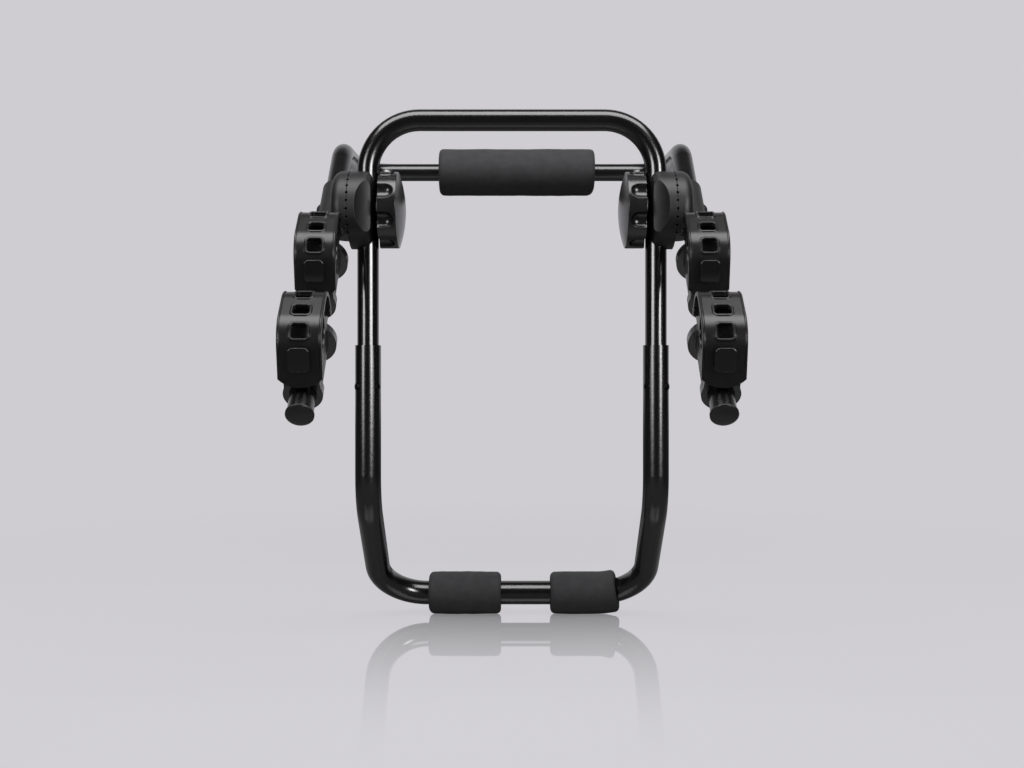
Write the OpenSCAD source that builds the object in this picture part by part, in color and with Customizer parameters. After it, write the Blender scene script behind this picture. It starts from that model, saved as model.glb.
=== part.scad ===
// Trunk mounted bike rack: a two-piece hoop frame, a swinging arm tube with
// strapped cradles, and a pair of ratchet hubs clamped by hand knobs.
// Millimetres, +Z up, +Y towards the car. The origin is on the axis of the
// lower bar, midway between the legs.

/* [Frame] */
// Distance between the leg centrelines
frame_w = 335; // [325:1:345]
// Height of the upper hoop's top bar
frame_h = 575; // [565:1:590]
// Distance of the hub axis below the top bar
hub_drop = 105; // [101:1:111]
// Height of the sleeve mouths
sleeve_z = 313; // [300:1:330]
// How far the legs stand in front of the lower bar
foot_back = 135; // [125:1:145]
// Outside diameter of the upper hoop's tube
upper_d = 25; // [24:0.5:25.5]
// Outside diameter of the lower hoop's tube
lower_d = 30; // [29.5:0.5:32]
// Wall of the steel tubes
tube_wall = 1.5; // [1.2:0.1:1.5]
// Length of upper hoop held inside each sleeve
plug_len = 110; // [90:1:130]
// Bend radius of the upper hoop's corners
hoop_bend = 60; // [55:1:65]
// Bend radius of the knees
knee_bend = 70; // [60:1:80]
// Bend radius of the lower corners
foot_bend = 60; // [50:1:65]

/* [Snap buttons] */
// Distance of the snap buttons below the sleeve mouth
button_drop = 48; // [40:1:60]
// Angle of each button from the front of the sleeve
button_angle = 52; // [48:1:56]
// Diameter of a snap button
button_d = 7.8; // [7:0.1:8.2]
// Height of a button above the sleeve
button_out = 1.5; // [1:0.1:2]

/* [Arms] */
// Distance of each arm outside its leg at the hub
arm_out = 40.5; // [39.5:0.5:42.5]
// Arm length in front of the hub axis
arm_len = 345; // [340:1:360]
// Arm length behind the hub axis, to the bend
arm_rise = 132; // [125:1:145]
// Length of the rear part of the arm tube
rear_run = 256; // [230:1:280]
// Outside diameter of the arm tube
arm_d = 25; // [24:0.5:25.5]
// Bend radius behind the hub
arm_bend = 60; // [55:1:70]
// Bend radius at the ends of the crossbar
bar_bend = 50; // [45:1:60]

/* [Foam] */
// Diameter of the foam roll on the crossbar
roll_d = 68; // [60:1:72]
// Length of the foam roll
roll_len = 228; // [200:1:240]
// Diameter of the lower foam pads
pad_d = 54; // [50:1:58]
// Length of the lower foam pads
pad_len = 92; // [84:1:100]
// Place of the left lower pad along the bar
pad_left_x = -60; // [-66:1:-56]
// Inner end of the right lower pad, which has crept onto the corner
pad_right_x = 49; // [46:1:60]

/* [Hubs] */
// Radius of the hub shells
hub_r = 45; // [43:0.5:46]
// Width of the inner hub shell
hub_inner_w = 25.5; // [24.5:0.5:25.5]
// Teeth round the ratchet seam
hub_teeth = 30; // [24:2:36]
// Diameter of the pivot bolts
bolt_d = 8; // [7:0.5:8.5]
// Radius of the hand knobs
knob_r = 44; // [42:0.5:46]
// Length of the hand knobs
knob_len = 29; // [28:0.5:31]

/* [Cradles] */
// Distance of the front cradles from the arms' ends
cradle_inset = 70; // [65:1:75]
// Distance from the front cradles to the rear ones
cradle_pitch = 139; // [135:1:143]
// Width of a cradle strap
strap_w = 42; // [40:1:44]
// Thickness of a cradle strap
strap_t = 4; // [3.5:0.5:4.5]
// Height of a strap's top above the arm's axis
strap_top = 65; // [64:0.5:68]
// Radius of the seat for a bicycle's tube
seat_r = 20; // [18:0.5:20]

/* [Hidden] */
$fn = 64;

// Clearances: a snug fit in one body, a running fit, and free space
snug = 0.05;
running = 0.08;
free = 0.4;

leg_x = frame_w / 2;
leg_y = -foot_back;
hub_z = frame_h - hub_drop;
arm_x = leg_x + arm_out;
cradle_front = arm_len - cradle_inset;
cradle_rear = cradle_front - cradle_pitch;
knee_turn = 45.6591;
knee_z = foot_back / tan(knee_turn);

// Slopes of the arm tube's rear part and of its arms, its bend at the crossbar, and
// the turn towards the centre that this gives the arms
rear_slope = 5.1739;
arm_slope = 41.7849;
bar_turn = 92.1909;
arm_toe = asin(-cos(bar_turn) / cos(rear_slope));
forward = [sin(arm_toe) * cos(arm_slope), -cos(arm_toe) * cos(arm_slope), -sin(arm_slope)];
rearward = [-sin(arm_toe) * cos(rear_slope), cos(arm_toe) * cos(rear_slope), sin(rear_slope)];
hub_left = [-arm_x, leg_y, hub_z];
arm_end = hub_left + arm_len * forward;
arm_corner = hub_left - arm_rise * forward;
bar_corner = arm_corner + rear_run * rearward;
bar_y = bar_corner.y;
bar_z = bar_corner.z;

// Rounding of the foam's ends, flare of its mouth, and the part of the corner
// that the right pad covers
foam_soft = 6;
foam_flare = 1;
pad_turn = 20.5324;
pad_bore = lower_d + 2 * free;

// Distances from the centre plane to the faces of a hub, along its axis
leg_in = leg_x - upper_d / 2;
saddle = 6.5;
hub_in = leg_x - saddle;
seam = hub_in + hub_inner_w;
outer_start = seam + free;
housing_wall = 3.5;
housing_r = arm_d / 2 + housing_wall;
housing_short = 6;
housing_l = 2 * hub_r - housing_short;
outer_end = arm_x - 2;
shoulder_in = 9;
shoulder_out = 12;
hub_floor = -32;
notch = 1.3;
notch_in = 5;
scoop_r = 45;
scoop_web = 1;
scoop_front = 25;
head_sink = 2;
head_seat = arm_x + housing_r - head_sink;
head_d = 15;
head_h = 5.5;
washer_t = 1.6;
washer_d = 20;
knob_start = leg_in - snug - washer_t - free;
knob_end = knob_start - knob_len;
knob_rim = 20;
knob_dome = 130;
flutes = 8;
flute_r = 10;
flute_at = knob_r + 3;
flute_l = 9;
insert_d = 15;
insert_len = 14;
bolt_grip = 12;
bolt_tip = knob_start - bolt_grip;

// Cradle outline, along the arm and up from its axis
tail_low = [-50, 14.8];
lean = 27.4636;
crown_turn = 90 - lean;
crown_front_bend = 30;
crown_back_bend = 24;
crown_back = 45;
pin_z = 32;
pin_d = 5;
pin_inset = 1;
eye_d = 11;
lug_w = 13.4;
lug_gap = 0.3;
base_w = 34;
seat_y = 3;
seat_z = 42;
ear_z = 44;
ear_back = 38.5;
front_collar_r = 19;
front_collar_at = 32;
foot_y = -43.5;
front_collar_w = 12;
rear_collar_r = 25;
rear_collar_w = 10;
rear_collar_over = 3;
barrel_r = 17;
barrel_front = 30;
lug_d = 9;
window_w = 16;
window_h = 14;
window_r = 3;
window_pitch = 25;
windows = 4;
peg_up = 28.5;
peg_w = 20.5;
peg_h = 23;
peg_t = 7;
peg_r = 5;
neck_w = 12;
neck_h = 10;
neck_r = 2;
neck_root = 3;
tail_r = 30;
up = [sin(lean), cos(lean)];
crown_front = [tail_low.x + (strap_top - tail_low.y) * tan(lean), strap_top];
// Where the strap's straight and bent runs end, measured along it from the tail
front_cut = crown_front_bend * tan(crown_turn / 2);
front_end = (strap_top - tail_low.y) / cos(lean) - front_cut;
top_start = front_end + crown_front_bend * crown_turn * PI / 180;
top_y = crown_front.x + front_cut;
top_end = top_start + crown_back - crown_back_bend - top_y;

function unit(v) = v / norm(v);
// Heading of leg i of a path, the way it turns next, and by how much
function heading(p, i) = unit(p[i + 1] - p[i]);
function turn_at(p, i) = acos(heading(p, i) * heading(p, i + 1));
function bend_to(p, i) =
  let (d = heading(p, i), e = heading(p, i + 1)) unit(e - (e * d) * d);
// Length that the bend after leg i takes from each of its two legs
function setback(p, r, i) = i < 0 || i > len(p) - 3 ? 0 : r[i] * tan(turn_at(p, i) / 2);
// Roll from one bend's plane to the next one's
function roll_at(p, i) =
  i == 0 ? 0 :
  let (
    d = heading(p, i - 1),
    b = bend_to(p, i - 1),
    x = b * cos(turn_at(p, i - 1)) - d * sin(turn_at(p, i - 1)),
    n = bend_to(p, i)
  )
  atan2(n * cross(d, b), n * x);
function flip(p) = [-p.x, p.y, p.z];

// Sets its children in the axes x, y, z at o
module basis(o, x, y, z) {
  multmatrix([
    [x.x, y.x, z.x, o.x],
    [x.y, y.y, z.y, o.y],
    [x.z, y.z, z.z, o.z],
    [0, 0, 0, 1]
  ])
    children();
}

// Sweeps a flat section along the points p, with a bend of radius r[i] after leg i
module sweep(p, r) {
  basis(p[0], bend_to(p, 0), cross(heading(p, 0), bend_to(p, 0)), heading(p, 0))
    leg(p, r, 0, 0)
      children();
}

// Leg i of a swept path, with the bend after it and all that follows. The section
// keeps its start point on one line along the tube, so that all its seams meet.
module leg(p, r, i, roll) {
  h = norm(p[i + 1] - p[i]) - setback(p, r, i - 1) - setback(p, r, i);
  linear_extrude(h)
    children();
  if (i < len(p) - 2) {
    to = roll + roll_at(p, i);
    translate([0, 0, h])
      rotate([0, 0, to])
        bend(r[i], turn_at(p, i)) {
          rotate(180 + to)
            children();
          rotate([0, 0, -to])
            leg(p, r, i + 1, to)
              children();
        }
  }
}

// A bend of a flat section towards +X, and what follows it
module bend(r, turn) {
  translate([r, 0, 0]) {
    rotate([90, 0, 180])
      rotate_extrude(angle = turn)
        translate([r, 0])
          children(0);
    rotate([0, turn, 0])
      translate([-r, 0, 0])
        children(1);
  }
}

module ring(d, wall) {
  difference() {
    circle(d = d);
    circle(d = d - 2 * wall);
  }
}

module rounded(w, h, r) {
  square([w - 2 * r, h], center = true);
  square([w, h - 2 * r], center = true);
  for (x = [-1, 1], y = [-1, 1])
    translate([x * (w / 2 - r), y * (h / 2 - r)])
      circle(r);
}

// Left side as drawn, or its mirror image on the right
module on_side(right) {
  if (right)
    mirror([1, 0, 0])
      children();
  else
    children();
}

// Hub axes: z runs outwards from the centre plane along the left hub's axis
module on_hub() {
  translate([0, leg_y, hub_z])
    rotate([0, -90, 0])
      children();
}

// Arm axes: y runs back along the left arm, z is square to it, at s before the hub
module on_arm(s) {
  translate(hub_left)
    rotate([0, 0, arm_toe])
      rotate([arm_slope, 0, 0])
        translate([0, -s, 0])
          children();
}

// A button's axes: z runs outwards through the wall of the left sleeve
module on_button(turn) {
  translate([-leg_x, leg_y, sleeve_z - button_drop])
    rotate([0, 0, turn])
      rotate([90, 0, 0])
        children();
}

module button_holes() {
  for (right = [false, true], turn = [-button_angle, button_angle])
    on_side(right)
      on_button(turn)
        cylinder(h = lower_d, d = button_d + 2 * free);
}

module lower_hoop() {
  color("black")
    difference() {
      sweep(
        [
          [-leg_x, leg_y, sleeve_z],
          [-leg_x, leg_y, knee_z],
          [-leg_x, 0, 0],
          [leg_x, 0, 0],
          [leg_x, leg_y, knee_z],
          [leg_x, leg_y, sleeve_z]
        ],
        [knee_bend, foot_bend, foot_bend, knee_bend]
      )
        ring(lower_d, tube_wall);
      button_holes();
    }
}

module upper_hoop() {
  low = sleeve_z - plug_len;
  color("black")
    difference() {
      sweep(
        [
          [-leg_x, leg_y, low],
          [-leg_x, leg_y, frame_h],
          [leg_x, leg_y, frame_h],
          [leg_x, leg_y, low]
        ],
        [hoop_bend, hoop_bend]
      )
        ring(upper_d, tube_wall);
      button_holes();
      for (right = [false, true])
        on_side(right)
          on_hub()
            translate([0, 0, leg_in - 1])
              cylinder(h = upper_d + 2, d = bolt_d + 2 * running);
    }
}

module sleeve_bushings() {
  bore = upper_d + 2 * snug;
  outside = lower_d - 2 * tube_wall - 2 * snug;
  color("dimgray")
    difference() {
      for (x = [-leg_x, leg_x])
        translate([x, leg_y, sleeve_z - plug_len])
          linear_extrude(plug_len)
            ring(outside, (outside - bore) / 2);
      button_holes();
    }
}

// Half profile of a soft rounded foam end, of length foam_soft above y = 0
module foam_profile(d, bore) {
  difference() {
    union() {
      square([d / 2 - foam_soft, foam_soft]);
      intersection() {
        translate([d / 2 - foam_soft, 0])
          circle(foam_soft);
        square([d / 2, foam_soft]);
      }
    }
    square([bore / 2, foam_soft]);
  }
}

// A straight foam tube along X
module foam(d, l, bore) {
  rotate([0, 90, 0])
    rotate_extrude() {
      translate([bore / 2, -l / 2 + foam_soft])
        square([(d - bore) / 2, l - 2 * foam_soft]);
      for (end = [0, 1])
        mirror([0, end])
          translate([0, l / 2 - foam_soft])
            foam_profile(d, bore);
    }
}

module lower_pad_left() {
  color("dimgray")
    translate([pad_left_x, 0, 0])
      foam(pad_d, pad_len, pad_bore);
}

module lower_pad_right() {
  straight = leg_x - foot_bend - pad_right_x - foam_soft;
  inward = [0, -sin(knee_turn), cos(knee_turn)];
  color("dimgray")
    basis([pad_right_x + foam_soft, 0, 0], inward, cross([1, 0, 0], inward), [1, 0, 0]) {
      mirror([0, 0, 1])
        rotate_extrude()
          foam_profile(pad_d, pad_bore);
      linear_extrude(straight)
        ring(pad_d, (pad_d - pad_bore) / 2);
      translate([0, 0, straight])
        bend(foot_bend, pad_turn) {
          rotate(180)
            ring(pad_d, (pad_d - pad_bore) / 2);
          rotate_extrude()
            foam_profile(pad_d, pad_bore + 2 * foam_flare);
        }
    }
}

module foam_roll() {
  color("dimgray")
    translate([0, bar_y, bar_z])
      foam(roll_d, roll_len, arm_d + 2 * free);
}

// Round notches of the ratchet, cut into a hub face at height z
module ratchet(z) {
  for (i = [0:hub_teeth - 1])
    rotate([0, 0, i * 360 / hub_teeth])
      translate([hub_r - notch_in, 0, z])
        rotate([0, 90, 0])
          cylinder(h = notch_in + 1, r = notch, $fn = 16);
}

module hub_inner(right) {
  color("dimgray")
    on_side(right)
      difference() {
        on_hub()
          translate([0, 0, hub_in])
            rotate_extrude() {
              square([hub_r - shoulder_in, hub_inner_w]);
              translate([0, shoulder_in])
                square([hub_r, hub_inner_w - shoulder_in]);
              translate([hub_r - shoulder_in, shoulder_in])
                circle(shoulder_in);
            }
        translate([-leg_x, leg_y, hub_z - hub_r - 1])
          cylinder(h = 2 * hub_r + 2, d = upper_d + 2 * snug);
        translate([scoop_r - seam + scoop_web, leg_y - hub_r - scoop_front, hub_z - hub_r - 1])
          cylinder(h = 2 * hub_r + 2, r = scoop_r);
        on_hub()
          translate([0, 0, hub_in - 1])
            cylinder(h = hub_inner_w + 2, d = bolt_d + 2 * running);
        on_hub()
          ratchet(seam);
      }
}

module hub_inner_left() {
  hub_inner(false);
}

module hub_inner_right() {
  hub_inner(true);
}

module hub_outer(right) {
  w = outer_end - outer_start;
  color("dimgray")
    on_side(right)
      difference() {
        union() {
          on_hub()
            translate([0, 0, outer_start])
              rotate_extrude() {
                square([hub_r - shoulder_out, w]);
                square([hub_r, w - shoulder_out]);
                intersection() {
                  translate([hub_r - shoulder_out, w - shoulder_out])
                    circle(shoulder_out);
                  square([hub_r, w]);
                }
              }
          on_arm(0)
            rotate([90, 0, 0])
              cylinder(h = housing_l, r = housing_r, center = true);
        }
        on_arm(0)
          rotate([90, 0, 0])
            cylinder(h = 2 * hub_r + 2, d = arm_d + 2 * snug, center = true);
        on_hub()
          translate([0, 0, outer_start - 1])
            cylinder(h = 2 * hub_r, d = bolt_d + 2 * snug);
        on_hub()
          translate([0, 0, head_seat])
            cylinder(h = hub_r, d = head_d + 2);
        on_hub()
          ratchet(outer_start);
        translate([-arm_x - hub_r, leg_y - hub_r - 1, hub_z + hub_floor - hub_r])
          cube([2 * hub_r, 2 * hub_r + 2, hub_r]);
      }
}

module hub_outer_left() {
  hub_outer(false);
}

module hub_outer_right() {
  hub_outer(true);
}

module pivot_washers() {
  color("silver")
    for (right = [false, true])
      on_side(right)
        on_hub()
          translate([0, 0, leg_in - snug - washer_t])
            linear_extrude(washer_t)
              ring(washer_d, washer_d / 2 - bolt_d / 2 - running);
}

module pivot_bolt(right) {
  cap = (head_d * head_d / 4 + head_h * head_h) / (2 * head_h);
  color("silver")
    on_side(right)
      on_hub() {
        translate([0, 0, bolt_tip])
          cylinder(h = head_seat - bolt_tip, d = bolt_d);
        translate([0, 0, head_seat])
          intersection() {
            translate([0, 0, head_h - cap])
              sphere(cap);
            cylinder(h = 2 * head_h, d = 2 * head_d);
          }
      }
}

module pivot_bolt_left() {
  pivot_bolt(false);
}

module pivot_bolt_right() {
  pivot_bolt(true);
}

module knob(right) {
  edge = 6;
  color("dimgray")
    on_side(right)
      on_hub()
        difference() {
          intersection() {
            translate([0, 0, knob_end])
              rotate_extrude() {
                translate([0, -edge])
                  square([knob_r - edge, knob_len + edge]);
                translate([0, knob_len - knob_rim])
                  square([knob_r, knob_rim]);
                translate([knob_r - edge, knob_len - knob_rim])
                  circle(edge);
              }
            translate([0, 0, knob_end + knob_dome])
              sphere(knob_dome, $fn = 128);
          }
          for (i = [0:flutes - 1])
            rotate([0, 0, (i + 0.5) * 360 / flutes])
              translate([flute_at, 0, knob_start - flute_l]) {
                cylinder(h = knob_len, r = flute_r);
                sphere(flute_r);
              }
          translate([0, 0, knob_start - insert_len])
            cylinder(h = insert_len + 1, d = insert_d);
        }
}

module knob_left() {
  knob(false);
}

module knob_right() {
  knob(true);
}

module knob_insert(right) {
  color("silver")
    on_side(right)
      on_hub()
        translate([0, 0, knob_start - insert_len])
          linear_extrude(insert_len)
            ring(insert_d - 2 * snug, insert_d / 2 - snug - bolt_d / 2 - running);
}

module knob_insert_left() {
  knob_insert(false);
}

module knob_insert_right() {
  knob_insert(true);
}

module snap_button(right, turn) {
  flange = 1.5;
  lip = 0.6;
  bore = upper_d / 2 - tube_wall;
  skirt = button_d / 2 + lip;
  inside = sqrt(bore * bore - skirt * skirt) - free;
  top = lower_d / 2 + button_out;
  crown = 14;
  color("silver")
    on_side(right)
      on_button(turn) {
        translate([0, 0, inside - flange])
          cylinder(h = flange, r = skirt);
        intersection() {
          translate([0, 0, inside])
            cylinder(h = top, d = button_d);
          translate([0, 0, top - crown])
            sphere(crown);
        }
      }
}

module snap_button_left_outer() {
  snap_button(false, -button_angle);
}

module snap_button_left_inner() {
  snap_button(false, button_angle);
}

module snap_button_right_inner() {
  snap_button(true, button_angle);
}

module snap_button_right_outer() {
  snap_button(true, -button_angle);
}

module arm_tube() {
  color("black")
    difference() {
      sweep(
        [
          arm_end,
          arm_corner,
          bar_corner,
          flip(bar_corner),
          flip(arm_corner),
          flip(arm_end)
        ],
        [arm_bend, bar_bend, bar_bend, arm_bend]
      )
        ring(arm_d, tube_wall);
      for (right = [false, true])
        on_side(right)
          on_hub()
            translate([0, 0, arm_x - arm_d])
              cylinder(h = 2 * arm_d, d = bolt_d + 2 * snug);
    }
}

module end_plug(right) {
  rim = arm_d + 2.4;
  rim_t = 5;
  stem = 16;
  dome = 30;
  color("dimgray")
    on_side(right)
      on_arm(arm_len)
        rotate([90, 0, 0]) {
          translate([0, 0, -stem])
            cylinder(h = stem, d = arm_d - 2 * tube_wall - 2 * snug);
          translate([0, 0, snug])
            intersection() {
              cylinder(h = 2 * rim_t, d = rim);
              translate([0, 0, rim_t - dome])
                sphere(dome, $fn = 128);
            }
          translate([0, 0, -1])
            cylinder(h = 1 + snug, d = arm_d - 2 * tube_wall - 2 * snug);
        }
}

module end_plug_left() {
  end_plug(false);
}

module end_plug_right() {
  end_plug(true);
}

// Slanted axes on the front of a strap: y runs up it and z leaves its outer face
module on_front(at) {
  translate([0, tail_low.x + at * up.x, tail_low.y + at * up.y])
    rotate([crown_turn, 0, 0])
      children();
}

// Axes on a bend of the strap whose straight top meets it at y, tilted from upright
module on_crown(y, r, tilt) {
  translate([0, y, strap_top - r])
    rotate([tilt, 0, 0])
      translate([0, 0, r])
        children();
}

// Axes on the strap at a distance along it from the tail
module on_band(at) {
  if (at < front_end)
    on_front(at)
      children();
  else if (at < top_start)
    on_crown(top_y, crown_front_bend, (top_start - at) / crown_front_bend * 180 / PI)
      children();
  else if (at < top_end)
    translate([0, top_y + at - top_start, strap_top])
      children();
  else
    on_crown(crown_back - crown_back_bend, crown_back_bend, (top_end - at) / crown_back_bend * 180 / PI)
      children();
}

module cradle(right, s) {
  back = strap_t / 2 + free;
  foot_z = tail_low.y - back * sin(lean) + (foot_y - tail_low.x - back * cos(lean)) / tan(lean);
  front_y = foot_y + (ear_z - foot_z) * tan(lean);
  color("black")
    on_side(right)
      on_arm(s)
        difference() {
          union() {
            rotate([90, 0, 90])
              linear_extrude(base_w, center = true)
                polygon([
                  [foot_y, 0],
                  [foot_y, foot_z],
                  [front_y, ear_z],
                  [ear_back, ear_z],
                  [ear_back, 0]
                ]);
            rotate([90, 0, 0])
              translate([0, 0, -ear_back - rear_collar_over])
                cylinder(h = rear_collar_w, r = rear_collar_r);
            rotate([90, 0, 0])
              translate([0, 0, front_collar_at])
                cylinder(h = front_collar_w, r = front_collar_r);
            rotate([90, 0, 0])
              translate([0, 0, -ear_back])
                cylinder(h = ear_back + barrel_front, r = barrel_r);
            translate([-lug_w / 2 + lug_gap, ear_back - 1, pin_z - lug_d / 2])
              cube([lug_w - 2 * lug_gap, crown_back - ear_back + 1, lug_d]);
            translate([-lug_w / 2 + lug_gap, crown_back, pin_z])
              rotate([0, 90, 0])
                cylinder(h = lug_w - 2 * lug_gap, d = lug_d);
            on_front(peg_up)
              translate([0, 0, -back - neck_root])
                linear_extrude(2 * back + neck_root)
                  rounded(neck_w, neck_h, neck_r);
            on_front(peg_up)
              translate([0, 0, back])
                linear_extrude(peg_t)
                  rounded(peg_w, peg_h, peg_r);
          }
          rotate([90, 0, 0])
            translate([0, 0, -2 * ear_back])
              cylinder(h = 4 * ear_back, d = arm_d + 2 * snug);
          translate([-base_w, seat_y, seat_z])
            rotate([0, 90, 0])
              cylinder(h = 2 * base_w, r = seat_r);
          translate([-base_w, crown_back, pin_z])
            rotate([0, 90, 0])
              cylinder(h = 2 * base_w, d = pin_d + 2 * snug);
        }
}

module cradle_front_left() {
  cradle(false, cradle_front);
}

module cradle_front_right() {
  cradle(true, cradle_front);
}

module cradle_rear_left() {
  cradle(false, cradle_rear);
}

module cradle_rear_right() {
  cradle(true, cradle_rear);
}

module strap_pins() {
  color("silver")
    for (right = [false, true], s = [cradle_front, cradle_rear])
      on_side(right)
        on_arm(s)
          translate([-strap_w / 2 + pin_inset, crown_back, pin_z])
            rotate([0, 90, 0])
              cylinder(h = strap_w - 2 * pin_inset, d = pin_d);
}

module window_cut() {
  linear_extrude(4 * strap_t, center = true)
    rounded(window_w, window_h, window_r);
}

module strap(right, s) {
  color("black")
    on_side(right)
      on_arm(s)
        difference() {
          union() {
            sweep(
              [
                [0, tail_low.x, tail_low.y],
                [0, crown_front.x, crown_front.y],
                [0, crown_back, strap_top],
                [0, crown_back, pin_z]
              ],
              [crown_front_bend, crown_back_bend]
            )
              square([strap_t, strap_w], center = true);
            translate([-strap_w / 2, crown_back, pin_z])
              rotate([0, 90, 0])
                cylinder(h = strap_w, d = eye_d);
          }
          translate([-strap_w, crown_back, pin_z])
            rotate([0, 90, 0])
              cylinder(h = 2 * strap_w, d = pin_d + 2 * running);
          translate([-lug_w / 2, crown_back - eye_d, pin_z - eye_d])
            cube([lug_w, 2 * eye_d, eye_d + eye_d / 2 + 1]);
          on_front(0)
            linear_extrude(4 * strap_t, center = true)
              difference() {
                translate([-strap_w / 2 - 1, -1])
                  square([strap_w + 2, tail_r / 2]);
                translate([0, tail_r])
                  circle(tail_r);
              }
          for (i = [0:windows - 1])
            on_band(peg_up + i * window_pitch)
              window_cut();
        }
}

module strap_front_left() {
  strap(false, cradle_front);
}

module strap_front_right() {
  strap(true, cradle_front);
}

module strap_rear_left() {
  strap(false, cradle_rear);
}

module strap_rear_right() {
  strap(true, cradle_rear);
}

lower_hoop();
upper_hoop();
sleeve_bushings();
lower_pad_left();
lower_pad_right();
hub_inner_left();
hub_inner_right();
pivot_washers();
snap_button_left_outer();
snap_button_left_inner();
snap_button_right_inner();
snap_button_right_outer();
knob_left();
knob_right();
knob_insert_left();
knob_insert_right();
arm_tube();
foam_roll();
hub_outer_left();
hub_outer_right();
pivot_bolt_left();
pivot_bolt_right();
end_plug_left();
end_plug_right();
cradle_front_left();
cradle_front_right();
cradle_rear_left();
cradle_rear_right();
strap_pins();
strap_front_left();
strap_front_right();
strap_rear_left();
strap_rear_right();
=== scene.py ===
import bmesh
import bpy
import math
from mathutils import Matrix, Vector, noise


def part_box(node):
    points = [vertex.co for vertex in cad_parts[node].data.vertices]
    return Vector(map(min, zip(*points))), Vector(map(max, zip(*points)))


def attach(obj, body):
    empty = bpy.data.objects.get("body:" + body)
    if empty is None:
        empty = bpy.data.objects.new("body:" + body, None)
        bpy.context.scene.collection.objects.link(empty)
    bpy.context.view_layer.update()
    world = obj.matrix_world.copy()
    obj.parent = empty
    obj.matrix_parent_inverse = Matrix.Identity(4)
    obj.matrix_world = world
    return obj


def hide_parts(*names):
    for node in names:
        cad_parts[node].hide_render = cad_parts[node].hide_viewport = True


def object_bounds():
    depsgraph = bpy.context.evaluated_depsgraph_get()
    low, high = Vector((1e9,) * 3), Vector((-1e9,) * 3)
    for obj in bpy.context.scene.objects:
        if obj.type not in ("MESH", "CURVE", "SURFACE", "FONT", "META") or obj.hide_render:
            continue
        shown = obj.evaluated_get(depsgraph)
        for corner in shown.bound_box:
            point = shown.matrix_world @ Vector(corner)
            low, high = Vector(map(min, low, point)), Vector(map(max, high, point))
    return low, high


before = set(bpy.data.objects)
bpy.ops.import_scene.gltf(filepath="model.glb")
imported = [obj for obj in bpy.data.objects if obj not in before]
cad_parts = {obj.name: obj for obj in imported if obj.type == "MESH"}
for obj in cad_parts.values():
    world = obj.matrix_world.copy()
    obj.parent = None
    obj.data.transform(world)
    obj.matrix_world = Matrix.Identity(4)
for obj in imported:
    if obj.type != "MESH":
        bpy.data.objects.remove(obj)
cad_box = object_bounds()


# Lower hoop: one 30 mm steel tube bent to a U, its legs kneed so that the bar lies nearer
# the car, its open ends left as sleeves. Sprayed black and stoved after bending.

def linear(code):
    # An sRGB hex colour as linear light, fully opaque
    parts = [int(code[i:i + 2], 16) / 255 for i in (1, 3, 5)]
    return [c / 12.92 if c < 0.04045 else ((c + 0.055) / 1.055) ** 2.4 for c in parts] + [1.0]


def add(tree, kind, inputs=None, **settings):
    node = tree.nodes.new(kind)
    for key, value in settings.items():
        setattr(node, key, value)
    for key, value in (inputs or {}).items():
        if isinstance(value, bpy.types.NodeSocket):
            tree.links.new(value, node.inputs[key])
        else:
            node.inputs[key].default_value = value
    return node


def finish(name):
    made = bpy.data.materials.new(name)
    made.use_nodes = True
    made.node_tree.nodes.clear()
    place = add(made.node_tree, "ShaderNodeTexCoord").outputs["Object"]
    return made, made.node_tree, place


def clouded(tree, place, patch, dark, light, smooth, rough, detail=4.0):
    # Colour and roughness drift together over soft patches of one size
    cloud = add(tree, "ShaderNodeTexNoise", {"Vector": place, "Scale": 1 / patch, "Detail": detail})
    shade = add(tree, "ShaderNodeMix", {
        "Factor": cloud.outputs["Fac"], "A": linear(dark), "B": linear(light)}, data_type="RGBA")
    haze = add(tree, "ShaderNodeMapRange", {
        "Value": cloud.outputs["Fac"], "To Min": smooth, "To Max": rough})
    return {"Base Color": shade.outputs["Result"], "Roughness": haze.outputs["Result"]}


def orange_peel(tree, place, dimple, strength, depth):
    # The shallow dimples that a sprayed coat keeps when it hardens
    peel = add(tree, "ShaderNodeTexNoise", {"Vector": place, "Scale": 1 / dimple, "Detail": 1.0})
    relief = add(tree, "ShaderNodeBump", {
        "Height": peel.outputs["Fac"], "Strength": strength, "Distance": depth})
    return relief.outputs["Normal"]


def dress(material, *names):
    for name in names:
        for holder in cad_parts[name].material_slots:
            holder.material = material


# Stoved black enamel: deep black with a clear gloss, and the shallow orange peel of
# spraying, about 5 mm across, that makes the long streaks waver slightly.
enamel, tree, place = finish("stoved_gloss_black_enamel")
look = clouded(
    tree, place, patch=0.035, dark="#060607", light="#0c0c0d", smooth=0.17, rough=0.22, detail=3.0)
shader = add(tree, "ShaderNodeBsdfPrincipled", {
    **look, "Normal": orange_peel(tree, place, dimple=0.005, strength=0.12, depth=0.0004),
    "Specular IOR Level": 1.0})
add(tree, "ShaderNodeOutputMaterial", {"Surface": shader.outputs["BSDF"]})
dress(enamel, "lower_hoop")


# Upper hoop: a 25 mm tube bent to an arch, pushed into the sleeves of the lower one.
# Same steel and same stoved enamel.
dress(enamel, "upper_hoop")


# Sleeve bushings: thin liners that take up the gap between the two tube sizes. Moulded
# in black polyethylene and pressed into the sleeves, so that only a rim shows.

edge_samples = 6

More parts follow.
